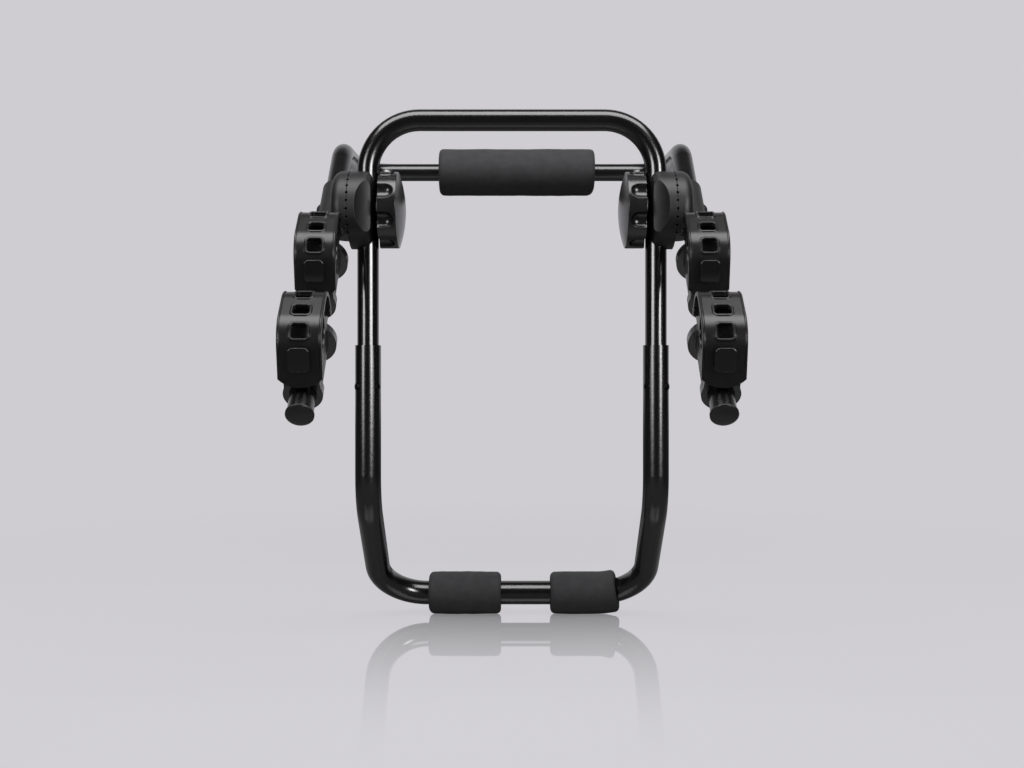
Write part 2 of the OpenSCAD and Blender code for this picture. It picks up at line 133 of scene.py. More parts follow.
# Moulded polyethylene: near black, waxy and faintly clouded, between matt and gloss,
# with edges drawn about 2 mm round so that they catch the light.
liner, tree, place = finish("moulded_black_polyethylene")
look = clouded(tree, place, patch=0.006, dark="#161617", light="#222224", smooth=0.32, rough=0.44)
edge = add(tree, "ShaderNodeBevel", {"Radius": 0.002}, samples=edge_samples)
shader = add(tree, "ShaderNodeBsdfPrincipled", {
    **look, "Normal": edge.outputs["Normal"], "Specular IOR Level": 0.7})
add(tree, "ShaderNodeOutputMaterial", {"Surface": shader.outputs["BSDF"]})
dress(liner, "sleeve_bushings")


# Snap buttons: the four crowned pins that lock the hoops, turned from steel and blacked.
# Each stands on a leaf spring inside the tube and is pressed in by a finger.

# Black oxide on turned steel: near black, oily and half bright, rubbed paler in spots.
blacked, tree, place = finish("black_oxide_steel")
look = clouded(tree, place, patch=0.0015, dark="#1c1c1e", light="#48484b", smooth=0.22, rough=0.4)
shader = add(tree, "ShaderNodeBsdfPrincipled", {**look, "Metallic": 1.0})
add(tree, "ShaderNodeOutputMaterial", {"Surface": shader.outputs["BSDF"]})
dress(blacked, "snap_button_left_outer", "snap_button_left_inner",
      "snap_button_right_inner", "snap_button_right_outer")


# Lower pads: two short sleeves of closed-cell foam on the lower bar, which rest against
# the car. Cut from extruded tube and pushed on; the right one has crept onto the corner.

pad_radius = 0.0265
pad_bore = 0.0154
pad_length = 0.092
pad_crown = 0.0004

# The cut ends: how far their edges are rounded and their faces dished, and how much
# rounder the near end's edge is underneath
foam_round = 0.006
face_dish = 0.0012
near_sag = 0.25

# The skin: slow waves and finer ripples, in depth and in number to the metre
wave_depth = 0.0005
waves_per_metre = 32
ripple_depth = 0.0002
ripples_per_metre = 140

# How finely the sleeve is divided: round it, along it, across its ends and round their
# edges, and how far from the ends the rings along it start
foam_turns = 96
ring_gap = 0.0025
face_rings = 4
corner_rings = 8
side_inset = 2.2 * foam_round


def foam_sleeve(name, length, radius, bore, crown, place_at, worn=0.0):
    # The section runs up the near face, along the side, down the far face and back through
    # the bore. Each point has its stretch of that, its share of the stretch, and whether it
    # is counted from the far end. place_at takes its way along the sleeve, its distance
    # from the middle and its angle from the top.
    steps = round(length / ring_gap)
    section = [("face", k / face_rings, False) for k in range(face_rings + 1)]
    section += [("corner", k / corner_rings, False) for k in range(1, corner_rings + 1)]
    section += [("side", k / steps, False) for k in range(1, steps)]
    section += [("corner", 1 - k / corner_rings, True) for k in range(corner_rings + 1)]
    section += [("face", 1 - k / face_rings, True) for k in range(1, face_rings + 1)]
    section += [("bore", 1 - k / steps, False) for k in range(1, steps)]
    work = bmesh.new()
    rings = []
    for turn in range(foam_turns):
        angle = 2 * math.pi * turn / foam_turns
        under = max(0.0, -math.cos(angle))
        ring = []
        for stretch, share, far in section:
            edge = foam_round * (1 + (worn * under * under if far else near_sag * under))
            if stretch == "face":
                along = face_dish * math.sin(math.pi * share)
                off = bore + (radius - edge - bore) * share
            elif stretch == "corner":
                along = edge - edge * math.cos(math.pi / 2 * share)
                off = radius - edge + edge * math.sin(math.pi / 2 * share)
            elif stretch == "side":
                along = side_inset + (length - 2 * side_inset) * share
                off = radius
            else:
                along = length * share
                off = bore
            if far:
                along = length - along
            if stretch in ("corner", "side"):
                off += crown * (1 - (2 * along / length - 1) ** 2)
            if stretch != "bore":
                smooth = place_at(along, off, angle)
                off += wave_depth * noise.noise(smooth * waves_per_metre)
                off += ripple_depth * noise.noise(smooth * ripples_per_metre)
            ring.append(work.verts.new(place_at(along, off, angle)))
        rings.append(ring)
    for turn in range(foam_turns):
        here, there = rings[turn], rings[(turn + 1) % foam_turns]
        for k in range(len(section)):
            n = (k + 1) % len(section)
            work.faces.new((here[k], here[n], there[n], there[k]))
    bmesh.ops.recalc_face_normals(work, faces=work.faces)
    mesh = bpy.data.meshes.new(name)
    work.to_mesh(mesh)
    work.free()
    mesh.shade_smooth()
    piece = bpy.data.objects.new(name, mesh)
    bpy.context.scene.collection.objects.link(piece)
    return piece


# Closed-cell rubber foam: soot grey with paler flecks, no gloss, a skin of cells about
# 0.8 mm across and soft patches some 12 mm wide where it has been squeezed or rubbed.
foam, tree, place = finish("closed_cell_rubber_foam")
patch = add(tree, "ShaderNodeTexNoise", {"Vector": place, "Scale": 1 / 0.012, "Detail": 5.0})
fleck = add(tree, "ShaderNodeTexNoise", {"Vector": place, "Scale": 1 / 0.0016, "Detail": 3.0})
cell = add(tree, "ShaderNodeTexVoronoi", {"Vector": place, "Scale": 1 / 0.0008})
shade = add(tree, "ShaderNodeMix", {
    "Factor": patch.outputs["Fac"], "A": linear("#333334"), "B": linear("#464648")}, data_type="RGBA")
dust = add(tree, "ShaderNodeMapRange", {
    "Value": fleck.outputs["Fac"], "From Min": 0.62, "From Max": 0.78, "To Max": 0.35})
tint = add(tree, "ShaderNodeMix", {
    "Factor": dust.outputs["Result"], "A": shade.outputs["Result"],
    "B": linear("#5c5c5d")}, data_type="RGBA")
skin = add(tree, "ShaderNodeBump", {
    "Height": patch.outputs["Fac"], "Strength": 0.25, "Distance": 0.0012})
relief = add(tree, "ShaderNodeBump", {
    "Height": cell.outputs["Distance"], "Normal": skin.outputs["Normal"], "Strength": 0.35,
    "Distance": 0.0003})
shader = add(tree, "ShaderNodeBsdfPrincipled", {
    "Base Color": tint.outputs["Result"], "Normal": relief.outputs["Normal"], "Roughness": 0.85,
    "Specular IOR Level": 0.25})
add(tree, "ShaderNodeOutputMaterial", {"Surface": shader.outputs["BSDF"]})

left_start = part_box("lower_pad_left")[0].x


def along_bar(along, off, angle):
    return Vector((left_start + along, off * math.sin(angle), off * math.cos(angle)))


corner_x = 0.1075
corner_radius = 0.060
corner_slope = math.radians(45.6591)
corner_turn = math.radians(20.5324)
end_squeeze = math.radians(8)
squeeze_reach = 0.030
right_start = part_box("lower_pad_right")[0].x
right_length = corner_x - right_start + corner_radius * corner_turn + foam_round
lift = Vector((0, -math.sin(corner_slope), math.cos(corner_slope)))
across = Vector((1, 0, 0)).cross(lift)


def along_corner(along, off, angle):
    # The angle is counted from the upright, so what is lowest on the sleeve stays lowest.
    # Its cut end is squeezed by the bend, so it stands steeper than square to the tube.
    upright = angle - corner_slope
    squeeze = min(1.0, max(0.0, 1 + (along - right_length) / squeeze_reach))
    run = right_start + along + squeeze * off * math.cos(upright) * math.tan(end_squeeze)
    bent = max(0.0, (run - corner_x) / corner_radius)
    turn = min(bent, corner_turn)
    past = max(0.0, run - corner_x - corner_radius * corner_turn)
    ahead = Vector((math.cos(turn), 0, 0)) + math.sin(turn) * lift
    inward = Vector((-math.sin(turn), 0, 0)) + math.cos(turn) * lift
    centre = Vector((min(run, corner_x), 0, 0)) + corner_radius * (
        Vector((math.sin(turn), 0, 0)) + (1 - math.cos(turn)) * lift)
    return centre + ahead * past + off * (math.cos(upright) * inward - math.sin(upright) * across)


pad_left = foam_sleeve("foam_pad_left", pad_length, pad_radius, pad_bore, pad_crown, along_bar)
pad_right = foam_sleeve("foam_pad_right", right_length, pad_radius, pad_bore, pad_crown, along_corner)
for piece, node in ((pad_left, "lower_pad_left"), (pad_right, "lower_pad_right")):
    piece.data.materials.append(foam)
    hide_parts(node)
    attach(piece, "main_frame")


# Hubs: two moulded shells a side with a ratchet between them. The inner one is saddled
# on the hoop's leg and the outer one carries the arm tube; a bolt draws them together.

grain_depth = 0.0002


def moulded_skin(tree, place, grain_size, strength, edge_radius):
    # The mould's grain, over edges that are drawn round so that they catch the light
    grain = add(tree, "ShaderNodeTexNoise", {"Vector": place, "Scale": 1 / grain_size, "Detail": 2.0})
    edge = add(tree, "ShaderNodeBevel", {"Radius": edge_radius}, samples=edge_samples)
    relief = add(tree, "ShaderNodeBump", {
        "Height": grain.outputs["Fac"], "Normal": edge.outputs["Normal"], "Strength": strength,
        "Distance": grain_depth})
    return relief.outputs["Normal"]


# Glass-filled nylon: charcoal black, half matt, from a spark-eroded mould whose grain is
# about 0.3 mm and is drawn at 0.7 mm so that it shows. Edges are broken by about 1 mm.
nylon, tree, place = finish("moulded_glass_filled_nylon")
look = clouded(tree, place, patch=0.02, dark="#131314", light="#1d1d1e", smooth=0.4, rough=0.52)
shader = add(tree, "ShaderNodeBsdfPrincipled", {
    **look, "Normal": moulded_skin(tree, place, grain_size=0.0007, strength=0.12, edge_radius=0.0012),
    "Specular IOR Level": 0.55})
add(tree, "ShaderNodeOutputMaterial", {"Surface": shader.outputs["BSDF"]})
dress(nylon, "hub_inner_left", "hub_inner_right", "hub_outer_left", "hub_outer_right")


# Pivot bolts and washers: coach-type bolts pushed in from the outer side, and a flat
# washer between the hoop's leg and the knob. Zinc plated steel.

# Bright zinc on turned steel: mid grey and half bright, faintly clouded.
zinc, tree, place = finish("bright_zinc_plated_steel")
look = clouded(tree, place, patch=0.002, dark="#4a4c4f", light="#6c6e72", smooth=0.3, rough=0.46)
shader = add(tree, "ShaderNodeBsdfPrincipled", {**look, "Metallic": 1.0})
add(tree, "ShaderNodeOutputMaterial", {"Surface": shader.outputs["BSDF"]})
dress(zinc, "pivot_bolt_left", "pivot_bolt_right", "pivot_washers")


# Hand knobs: fluted discs that are turned by hand to clamp the ratchet. Moulded in black
# polypropylene round a brass insert, whose thread runs on the pivot bolt.

# Moulded polypropylene: about as dark as the hubs and glossier, with a fine grain drawn
# at 0.8 mm so that it shows.
grip, tree, place = finish("moulded_black_polypropylene")
look = clouded(tree, place, patch=0.015, dark="#121213", light="#1c1c1d", smooth=0.2, rough=0.28)
shader = add(tree, "ShaderNodeBsdfPrincipled", {
    **look, "Normal": moulded_skin(tree, place, grain_size=0.0008, strength=0.1, edge_radius=0.0014),
    "Specular IOR Level": 0.85})
add(tree, "ShaderNodeOutputMaterial", {"Surface": shader.outputs["BSDF"]})
dress(grip, "knob_left", "knob_right")

# Turned brass: yellow and fairly bright, faintly clouded.
brass, tree, place = finish("turned_brass")
look = clouded(tree, place, patch=0.0015, dark="#9c7c3c", light="#c3a25c", smooth=0.25, rough=0.4)
shader = add(tree, "ShaderNodeBsdfPrincipled", {**look, "Metallic": 1.0})
add(tree, "ShaderNodeOutputMaterial", {"Surface": shader.outputs["BSDF"]})
dress(brass, "knob_insert_left", "knob_insert_right")


# Arm tube: one 25 mm tube bent four times, two arms and the bar between them, held in
# the outer hub shells. Powder coated.

# Black powder coat: nearly as glossy as the enamel, over pebbles about 2.5 mm across,
# which is half the size of the enamel's peel.
coat, tree, place = finish("satin_black_powder_coat")
look = clouded(
    tree, place, patch=0.03, dark="#0a0a0b", light="#121213", smooth=0.17, rough=0.25, detail=3.0)
shader = add(tree, "ShaderNodeBsdfPrincipled", {
    **look, "Normal": orange_peel(tree, place, dimple=0.0025, strength=0.1, depth=0.0003),
    "Specular IOR Level": 1.0})
add(tree, "ShaderNodeOutputMaterial", {"Surface": shader.outputs["BSDF"]})
dress(coat, "arm_tube")


# Foam roll: the long foam sleeve on the arm tube's crossbar, which rests on the boot
# lid. The same foam as the lower pads, slid a little to the right and worn round
# underneath at that end.
roll_low, roll_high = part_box("foam_roll")
roll_centre = (roll_low + roll_high) / 2
roll_radius = (roll_high.z - roll_low.z) / 2
roll_bore = 0.0129
roll_crown = 0.0
roll_worn = 0.9
roll_slid = 0.007


def along_crossbar(along, off, angle):
    return Vector((
        roll_low.x + roll_slid + along,
        roll_centre.y + off * math.sin(angle),
        roll_centre.z + off * math.cos(angle)))


foam_roll = foam_sleeve(
    "foam_roll_cover", roll_high.x - roll_low.x, roll_radius, roll_bore, roll_crown, along_crossbar,
    worn=roll_worn)
foam_roll.data.materials.append(foam)
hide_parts("foam_roll")
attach(foam_roll, "arm_frame")


# End plugs: domed caps that close the arms' open ends. Moulded in the same black
# polyethylene as the bushings and pressed in by their stems.
dress(liner, "end_plug_left", "end_plug_right")


# Cradles: the blocks on the arms that hold a bicycle's top tube, each a saddle between
# two collars, with a peg for its strap and a lug for the strap's pin. Nylon and steel.

# Black nylon: darker than the hubs and glossy from a polished mould, with a faint grain
# drawn at 0.9 mm and edges broken by about 2 mm.
black_nylon, tree, place = finish("moulded_black_nylon")
look = clouded(tree, place, patch=0.012, dark="#0c0c0d", light="#151516", smooth=0.15, rough=0.22)
shader = add(tree, "ShaderNodeBsdfPrincipled", {
    **look, "Normal": moulded_skin(tree, place, grain_size=0.0009, strength=0.04, edge_radius=0.0018),
    "Specular IOR Level": 1.0})
add(tree, "ShaderNodeOutputMaterial", {"Surface": shader.outputs["BSDF"]})
dress(black_nylon, "cradle_front_left", "cradle_front_right", "cradle_rear_left", "cradle_rear_right")
dress(zinc, "strap_pins")


# Straps: flexible bands over the cradles, hinged on the pin behind and buttoned over the
# peg in front by one of four windows. Moulded rubber, one piece each, with a raised bead
# round the windows that are free and a finer one along the edges.

# Moulded rubber: black with a satin sheen, and a fine grain drawn at 0.8 mm so that it
# shows.
rubber, tree, place = finish("moulded_satin_rubber")
look = clouded(tree, place, patch=0.01, dark="#0f0f10", light="#181819", smooth=0.26, rough=0.36)
shader = add(tree, "ShaderNodeBsdfPrincipled", {
    **look, "Normal": moulded_skin(tree, place, grain_size=0.0008, strength=0.06, edge_radius=0.001),
    "Specular IOR Level": 0.6})
add(tree, "ShaderNodeOutputMaterial", {"Surface": shader.outputs["BSDF"]})

# The band's middle line from the side: (along the arm, up from its axis), in metres
strap_tail = (-0.050, 0.0148)
strap_lean = math.radians(27.4636)
strap_top = 0.065
strap_back = 0.045
strap_pin = 0.032
front_bend = 0.030
rear_bend = 0.024
bend_steps = 16
tail_to_top = (strap_top - strap_tail[1]) / math.cos(strap_lean)
tail_length = tail_to_top - front_bend * math.tan((math.pi / 2 - strap_lean) / 2)
tail_end = (strap_tail[0] + tail_length * math.sin(strap_lean),
            strap_tail[1] + tail_length * math.cos(strap_lean))
front_centre = (tail_end[0] + front_bend * math.cos(strap_lean),
                tail_end[1] - front_bend * math.sin(strap_lean))
rear_centre = (strap_back - rear_bend, strap_top - rear_bend)
line = [strap_tail]
for centre, bend, first, last in (
        (front_centre, front_bend, strap_lean, math.pi / 2),
        (rear_centre, rear_bend, math.pi / 2, math.pi)):
    for k in range(bend_steps + 1):
        angle = first + (last - first) * k / bend_steps
        line.append((centre[0] - bend * math.cos(angle), centre[1] + bend * math.sin(angle)))
line.append((strap_back, strap_pin))

strap_width = 0.042
lug_slot = 0.0134
edge_inset = 0.0013
band_sizes = {
    "Width": strap_width, "Thickness": 0.004, "Tail Radius": 0.030, "Tail Reach": 0.018,
    "Window Width": 0.016, "Window Height": 0.014, "Window Corner": 0.003,
    "First Window": 0.0285, "Pitch": 0.025,
    "Bead": 0.0014, "Rim Growth": 0.0018, "Rim Corner": 0.0039,
    "Edge Bead": 0.001, "Edge Span": strap_width - 2 * edge_inset, "Edge Start": 0.0085,
    "Edge Stop": 0.008, "Lug Slot": lug_slot, "Slot Depth": 0.0065}
band = bpy.data.node_groups.new("strap_band", "GeometryNodeTree")
band.interface.new_socket("Path", in_out="INPUT", socket_type="NodeSocketGeometry")
for name, size in band_sizes.items():
    socket = band.interface.new_socket(name, in_out="INPUT", socket_type="NodeSocketFloat")
    socket.default_value = size
windows = band.interface.new_socket("Windows", in_out="INPUT", socket_type="NodeSocketInt")
windows.default_value = 4
rubber_input = band.interface.new_socket("Rubber", in_out="INPUT", socket_type="NodeSocketMaterial")
band.interface.new_socket("Strap", in_out="OUTPUT", socket_type="NodeSocketGeometry")
given = add(band, "NodeGroupInput").outputs
path = add(band, "GeometryNodeMeshToCurve", {"Mesh": given["Path"]}).outputs["Curve"]
reach = add(band, "GeometryNodeCurveLength", {"Curve": path}).outputs["Length"]

# The band lies flat first: x across it, y along it from the tail, z out of its face
blank_size = add(band, "ShaderNodeCombineXYZ", {
    "X": given["Width"], "Y": reach, "Z": given["Thickness"]}).outputs["Vector"]
blank = add(band, "GeometryNodeMeshCube", {
    "Size": blank_size, "Vertices X": 15, "Vertices Y": 90, "Vertices Z": 3}).outputs["Mesh"]
half_way = add(band, "ShaderNodeMath", {0: reach, 1: 0.5}, operation="MULTIPLY").outputs["Value"]
middle = add(band, "ShaderNodeCombineXYZ", {"Y": half_way}).outputs["Vector"]
laid = add(band, "GeometryNodeTransform", {"Geometry": blank, "Translation": middle}).outputs["Geometry"]

# The tail's end is an arc: each point near it moves along by the arc's sagitta
position = add(band, "GeometryNodeInputPosition").outputs["Position"]
spot = add(band, "ShaderNodeSeparateXYZ", {"Vector": position}).outputs
across_square = add(band, "ShaderNodeMath", {0: spot["X"], 1: 2.0}, operation="POWER").outputs["Value"]
radius_square = add(band, "ShaderNodeMath", {
    0: given["Tail Radius"], 1: 2.0}, operation="POWER").outputs["Value"]
chord_square = add(band, "ShaderNodeMath", {
    0: radius_square, 1: across_square}, operation="SUBTRACT").outputs["Value"]
chord = add(band, "ShaderNodeMath", {0: chord_square}, operation="SQRT").outputs["Value"]
sagitta = add(band, "ShaderNodeMath", {
    0: given["Tail Radius"], 1: chord}, operation="SUBTRACT").outputs["Value"]
near_tail = add(band, "ShaderNodeMapRange", {
    "Value": spot["Y"], "From Min": 0.0, "From Max": given["Tail Reach"],
    "To Min": 1.0, "To Max": 0.0}).outputs["Result"]
slide = add(band, "ShaderNodeMath", {0: sagitta, 1: near_tail}, operation="MULTIPLY").outputs["Value"]
slid = add(band, "ShaderNodeCombineXYZ", {"Y": slide}).outputs["Vector"]
tailed = add(band, "GeometryNodeSetPosition", {"Geometry": laid, "Offset": slid}).outputs["Geometry"]

# Windows: one rounded cutter repeated along the band, and a slot for the cradle's lug.
# The cutters stand out of both faces, and the slot's block out of the band's end.
corner_points = 6
cutter_depth = 0.012
slot_block_depth = 0.02
slot_overrun = 0.05
opening = add(band, "GeometryNodeCurvePrimitiveQuadrilateral", {
    "Width": given["Window Width"], "Height": given["Window Height"]}).outputs["Curve"]
eased = add(band, "GeometryNodeFilletCurve", {
    "Curve": opening, "Count": corner_points, "Radius": given["Window Corner"]},
    mode="POLY").outputs["Curve"]
cutter_face = add(band, "GeometryNodeFillCurve", {"Curve": eased}, mode="NGONS").outputs["Mesh"]
cutter_wall = add(band, "GeometryNodeExtrudeMesh", {
    "Mesh": cutter_face, "Offset": (0, 0, 1), "Offset Scale": cutter_depth}).outputs["Mesh"]
underside = add(band, "GeometryNodeFlipFaces", {"Mesh": cutter_face}).outputs["Mesh"]
closed = add(band, "GeometryNodeJoinGeometry")
for part in (cutter_wall, underside):
    band.links.new(part, closed.inputs["Geometry"])
welded = add(band, "GeometryNodeMergeByDistance", {
    "Geometry": closed.outputs["Geometry"], "Distance": 1e-6}).outputs["Geometry"]
cutter = add(band, "GeometryNodeTransform", {
    "Geometry": welded, "Translation": (0, 0, -cutter_depth / 2)}).outputs["Geometry"]
first_window = add(band, "ShaderNodeCombineXYZ", {"Y": given["First Window"]}).outputs["Vector"]
step = add(band, "ShaderNodeCombineXYZ", {"Y": given["Pitch"]}).outputs["Vector"]
stations = add(band, "GeometryNodeMeshLine", {
    "Count": given["Windows"], "Start Location": first_window, "Offset": step}).outputs["Mesh"]
cutters = add(band, "GeometryNodeInstanceOnPoints", {
    "Points": stations, "Instance": cutter}).outputs["Instances"]
window_cut = add(band, "GeometryNodeRealizeInstances", {"Geometry": cutters}).outputs["Geometry"]
slot_size = add(band, "ShaderNodeCombineXYZ", {
    "X": given["Lug Slot"], "Y": given["Slot Depth"], "Z": slot_block_depth}).outputs["Vector"]
slot_block = add(band, "GeometryNodeMeshCube", {"Size": slot_size}).outputs["Mesh"]
slot_way = add(band, "ShaderNodeMath", {
    0: given["Slot Depth"], 1: slot_overrun - 0.5, 2: reach}, operation="MULTIPLY_ADD").outputs["Value"]
slot_place = add(band, "ShaderNodeCombineXYZ", {"Y": slot_way}).outputs["Vector"]
slot_cut = add(band, "GeometryNodeTransform", {
    "Geometry": slot_block, "Translation": slot_place}).outputs["Geometry"]
pierced = add(band, "GeometryNodeMeshBoolean", {"Mesh 1": tailed}, operation="DIFFERENCE")
for cut in (window_cut, slot_cut):
    band.links.new(cut, pierced.inputs["Mesh 2"])

# Beads: a fine round welt on the outer face, round each free window and down both edges
welt_points = 10
rim_points = 56
edge_points = 80
welt_sink = 0.0001
welt = add(band, "GeometryNodeCurvePrimitiveCircle", {
    "Resolution": welt_points, "Radius": given["Bead"]}).outputs["Curve"]
edge_welt = add(band, "GeometryNodeCurvePrimitiveCircle", {
    "Resolution": welt_points, "Radius": given["Edge Bead"]}).outputs["Curve"]
face_z = add(band, "ShaderNodeMath", {
    0: given["Thickness"], 1: 0.5, 2: -welt_sink}, operation="MULTIPLY_ADD").outputs["Value"]
rim_wide = add(band, "ShaderNodeMath", {
    0: given["Window Width"], 1: given["Rim Growth"]}, operation="ADD").outputs["Value"]
rim_high = add(band, "ShaderNodeMath", {
    0: given["Window Height"], 1: given["Rim Growth"]}, operation="ADD").outputs["Value"]
rim_line = add(band, "GeometryNodeCurvePrimitiveQuadrilateral", {
    "Width": rim_wide, "Height": rim_high}).outputs["Curve"]
rim_eased = add(band, "GeometryNodeFilletCurve", {
    "Curve": rim_line, "Count": corner_points, "Radius": given["Rim Corner"]},
    mode="POLY").outputs["Curve"]
rim_even = add(band, "GeometryNodeResampleCurve", {
    "Curve": rim_eased, "Count": rim_points}).outputs["Curve"]
rim = add(band, "GeometryNodeCurveToMesh", {"Curve": rim_even, "Profile Curve": welt}).outputs["Mesh"]
second_window = add(band, "ShaderNodeMath", {
    0: given["First Window"], 1: given["Pitch"]}, operation="ADD").outputs["Value"]
first_rim = add(band, "ShaderNodeCombineXYZ", {"Y": second_window, "Z": face_z}).outputs["Vector"]
free_windows = add(band, "ShaderNodeMath", {
    0: given["Windows"], 1: 1.0}, operation="SUBTRACT").outputs["Value"]
rim_stations = add(band, "GeometryNodeMeshLine", {
    "Count": free_windows, "Start Location": first_rim, "Offset": step}).outputs["Mesh"]
rims = add(band, "GeometryNodeInstanceOnPoints", {
    "Points": rim_stations, "Instance": rim}).outputs["Instances"]
edge_end = add(band, "ShaderNodeMath", {
    0: reach, 1: given["Edge Stop"]}, operation="SUBTRACT").outputs["Value"]
edge_from = add(band, "ShaderNodeCombineXYZ", {"Y": given["Edge Start"]}).outputs["Vector"]
edge_to = add(band, "ShaderNodeCombineXYZ", {"Y": edge_end}).outputs["Vector"]
edge_line = add(band, "GeometryNodeCurvePrimitiveLine", {
    "Start": edge_from, "End": edge_to}).outputs["Curve"]
edge_even = add(band, "GeometryNodeResampleCurve", {
    "Curve": edge_line, "Count": edge_points}).outputs["Curve"]
edge_bead = add(band, "GeometryNodeCurveToMesh", {
    "Curve": edge_even, "Profile Curve": edge_welt, "Fill Caps": True}).outputs["Mesh"]
one_edge = add(band, "ShaderNodeMath", {
    0: given["Edge Span"], 1: -0.5}, operation="MULTIPLY").outputs["Value"]
edge_start = add(band, "ShaderNodeCombineXYZ", {"X": one_edge, "Z": face_z}).outputs["Vector"]
edge_step = add(band, "ShaderNodeCombineXYZ", {"X": given["Edge Span"]}).outputs["Vector"]
edge_stations = add(band, "GeometryNodeMeshLine", {
    "Count": 2, "Start Location": edge_start, "Offset": edge_step}).outputs["Mesh"]
edges = add(band, "GeometryNodeInstanceOnPoints", {
    "Points": edge_stations, "Instance": edge_bead}).outputs["Instances"]
flat = add(band, "GeometryNodeJoinGeometry")
for part in (pierced.outputs["Mesh"], rims, edges):
    band.links.new(part, flat.inputs["Geometry"])
whole = add(band, "GeometryNodeRealizeInstances", {
    "Geometry": flat.outputs["Geometry"]}).outputs["Geometry"]

# Then it is bent: y becomes the distance along the path and z leaves it squarely
sample = add(band, "GeometryNodeSampleCurve", {"Curves": path, "Length": spot["Y"]}, mode="LENGTH").outputs
on_line = add(band, "ShaderNodeSeparateXYZ", {"Vector": sample["Position"]}).outputs
ahead = add(band, "ShaderNodeSeparateXYZ", {"Vector": sample["Tangent"]}).outputs
drop = add(band, "ShaderNodeMath", {0: spot["Z"], 1: ahead["Z"]}, operation="MULTIPLY").outputs["Value"]
bent_y = add(band, "ShaderNodeMath", {0: on_line["Y"], 1: drop}, operation="SUBTRACT").outputs["Value"]
bent_z = add(band, "ShaderNodeMath", {
    0: spot["Z"], 1: ahead["Y"], 2: on_line["Z"]}, operation="MULTIPLY_ADD").outputs["Value"]
bent = add(band, "ShaderNodeCombineXYZ", {"X": spot["X"], "Y": bent_y, "Z": bent_z}).outputs["Vector"]
shaped = add(band, "GeometryNodeSetPosition", {"Geometry": whole, "Position": bent}).outputs["Geometry"]
coloured = add(band, "GeometryNodeSetMaterial", {
    "Geometry": shaped, "Material": given["Rubber"]}).outputs["Geometry"]
add(band, "NodeGroupOutput", {"Strap": coloured})

path_mesh = bpy.data.meshes.new("strap_path")
path_mesh.from_pydata(
    [(0, y, z) for y, z in line], [(k, k + 1) for k in range(len(line) - 1)], [])
former = bpy.data.objects.new("strap_former", path_mesh)
bpy.context.scene.collection.objects.link(former)
moulding = former.modifiers.new("strap_band", "NODES")
moulding.node_group = band
moulding[rubber_input.identifier] = rubber
moulded = bpy.data.meshes.new_from_object(
    former.evaluated_get(bpy.context.evaluated_depsgraph_get()))
bpy.data.objects.remove(former)

# The eye that turns on the pin: two short tubes, one either side of the lug
eye_radius = 0.0055
eye_bore = 0.00258
eye_chamfer = 0.0004
eye_turns = 32
work = bmesh.new()
work.from_mesh(moulded)
for left, right in ((-strap_width / 2, -lug_slot / 2), (lug_slot / 2, strap_width / 2)):
    eye_section = (
        (left, eye_bore), (left, eye_radius - eye_chamfer), (left + eye_chamfer, eye_radius),
        (right - eye_chamfer, eye_radius), (right, eye_radius - eye_chamfer), (right, eye_bore))
    rows = []
    for k in range(eye_turns):
        angle = 2 * math.pi * k / eye_turns
        rows.append([
            work.verts.new((x, strap_back + r * math.cos(angle), strap_pin + r * math.sin(angle)))
            for x, r in eye_section])
    for k in range(eye_turns):
        here, there = rows[k], rows[(k + 1) % eye_turns]
        for n in range(len(eye_section)):
            m = (n + 1) % len(eye_section)
            work.faces.new((here[n], there[n], there[m], here[m]))
bmesh.ops.recalc_face_normals(work, faces=work.faces)
work.to_mesh(moulded)
work.free()
moulded.materials.clear()
moulded.materials.append(rubber)
moulded.polygons.foreach_set("material_index", [0] * len(moulded.polygons))

# The left arm's axes: it runs from the hub away from the car and down, closing in slightly
arm_hub = Vector((-0.208, -0.135, 0.470))
arm_toe = math.radians(2.1999)
arm_slope = math.radians(41.7849)
on_arm = (
    Matrix.Translation(arm_hub) @ Matrix.Rotation(arm_toe, 4, "Z")
    @ Matrix.Rotation(arm_slope, 4, "X"))
sharp_edge = math.radians(35)
cradle_distances = {"front": 0.275, "rear": 0.136}
for row, distance in cradle_distances.items():
    for side in ("left", "right"):
        mesh = moulded.copy()
        mesh.transform(on_arm @ Matrix.Translation((0, -distance, 0)))
        if side == "right":
            mesh.transform(Matrix.Scale(-1, 4, (1, 0, 0)))
            mesh.flip_normals()
        mesh.shade_smooth()
        mesh.set_sharp_from_angle(angle=sharp_edge)
        piece = bpy.data.objects.new(f"rubber_strap_{row}_{side}", mesh)
        bpy.context.scene.collection.objects.link(piece)
        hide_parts(f"strap_{row}_{side}")
        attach(piece, f"strap_{row}_{side}")


# Floor: a pale, lightly polished sheet that the rack stands on. It is as bright as the
# backdrop, keeps a soft shadow round the pads and mirrors the lower bar.
floor_z = cad_box[0].z
floor_half = 9
backdrop = linear("#cfcdd1")
floor_mesh = bpy.data.meshes.new("floor")
floor_mesh.from_pydata(
    [(x * floor_half, y * floor_half, floor_z) for x, y in ((-1, -1), (1, -1), (1, 1), (-1, 1))],
    [], [(0, 1, 2, 3)])
floor = bpy.data.objects.new("floor", floor_mesh)
bpy.context.scene.collection.objects.link(floor)

# Polished sheet: by the rack it is grey under a weaker glow, so that shadows show on it.
# Further off it is all glow, which meets the backdrop without an edge.
shadow_start = 0.3
shadow_end = 1.5
glow_by_rack = 0.8
glow_held_back = 0.9
sheet, tree, place = finish("pale_polished_floor")
far = add(tree, "ShaderNodeVectorMath", {0: place}, operation="LENGTH")
fade = add(tree, "ShaderNodeMapRange", {
    "Value": far.outputs["Value"], "From Min": shadow_start, "From Max": shadow_end},
    interpolation_type="SMOOTHSTEP")

